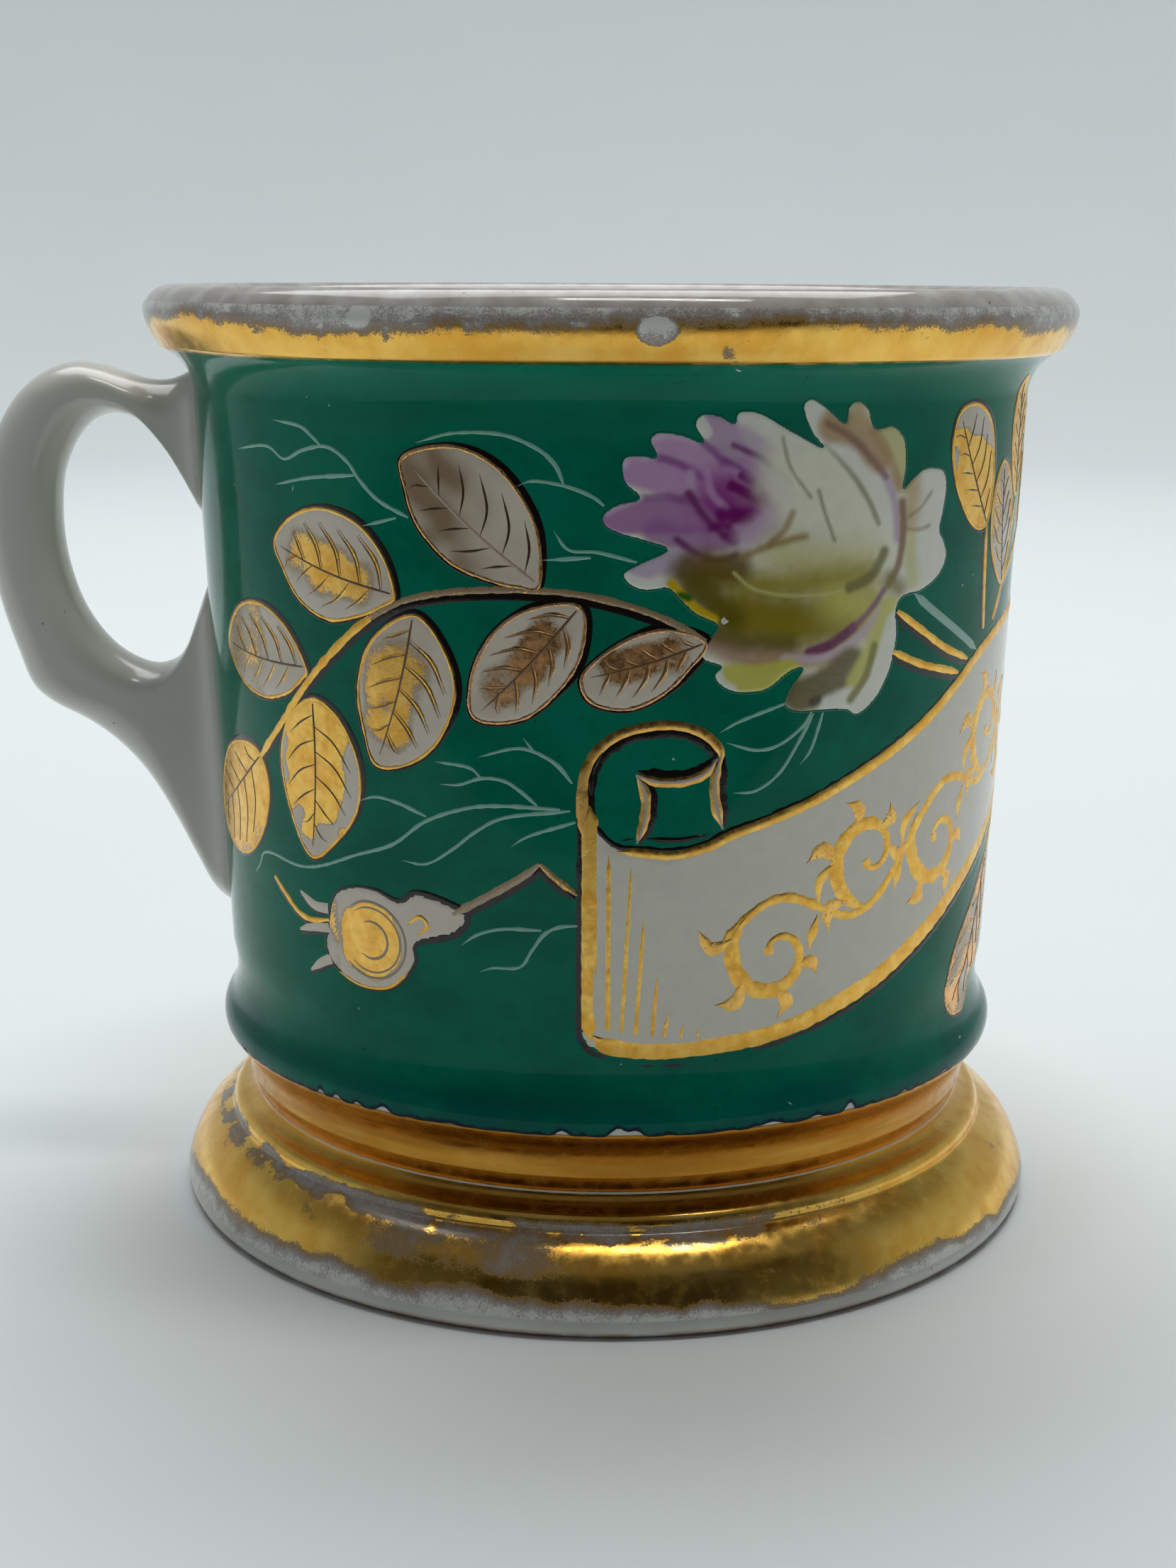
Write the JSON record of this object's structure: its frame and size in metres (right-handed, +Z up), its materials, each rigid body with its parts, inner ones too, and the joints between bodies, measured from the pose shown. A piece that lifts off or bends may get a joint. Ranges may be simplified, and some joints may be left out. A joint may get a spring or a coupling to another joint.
{
  "type": "shaving mug",
  "caption": "Porcelain shaving mug: flared cup on a spreading hollow foot, ear handle with a spur, green enamel, rose and leaf painting, white ribbon and gold bands.",
  "frame": {"origin": "centre of the foot ring's resting plane, on the mug's axis", "axes": "+Z up along the mug's axis, handle towards -X, decorated front towards -Y"},
  "size_m": [0.1196, 0.1006, 0.101],
  "materials": {
    "porcelain": "gloss glaze",
    "slip": "gloss glaze over dried slip",
    "green_enamel": "gloss overglaze enamel",
    "gold": "worn bright gold",
    "leaf_gold": "worn gold on white glaze",
    "ribbon_white": "gloss white glaze with gold lines",
    "rose_painting": "gloss enamel painting"
  },
  "bodies": {
    "root": {"cup_body": "porcelain", "foot": "porcelain", "handle": "porcelain", "foot_lute": "slip", "handle_lower_lute": "slip", "handle_upper_lute": "slip", "green_ground": "green_enamel", "rim_gilding": "gold", "foot_gilding": "gold", "leaf_sprays": "leaf_gold", "rosebuds": "leaf_gold", "name_ribbon": "ribbon_white", "rose": "rose_painting"}
  },
  "joints": []
}
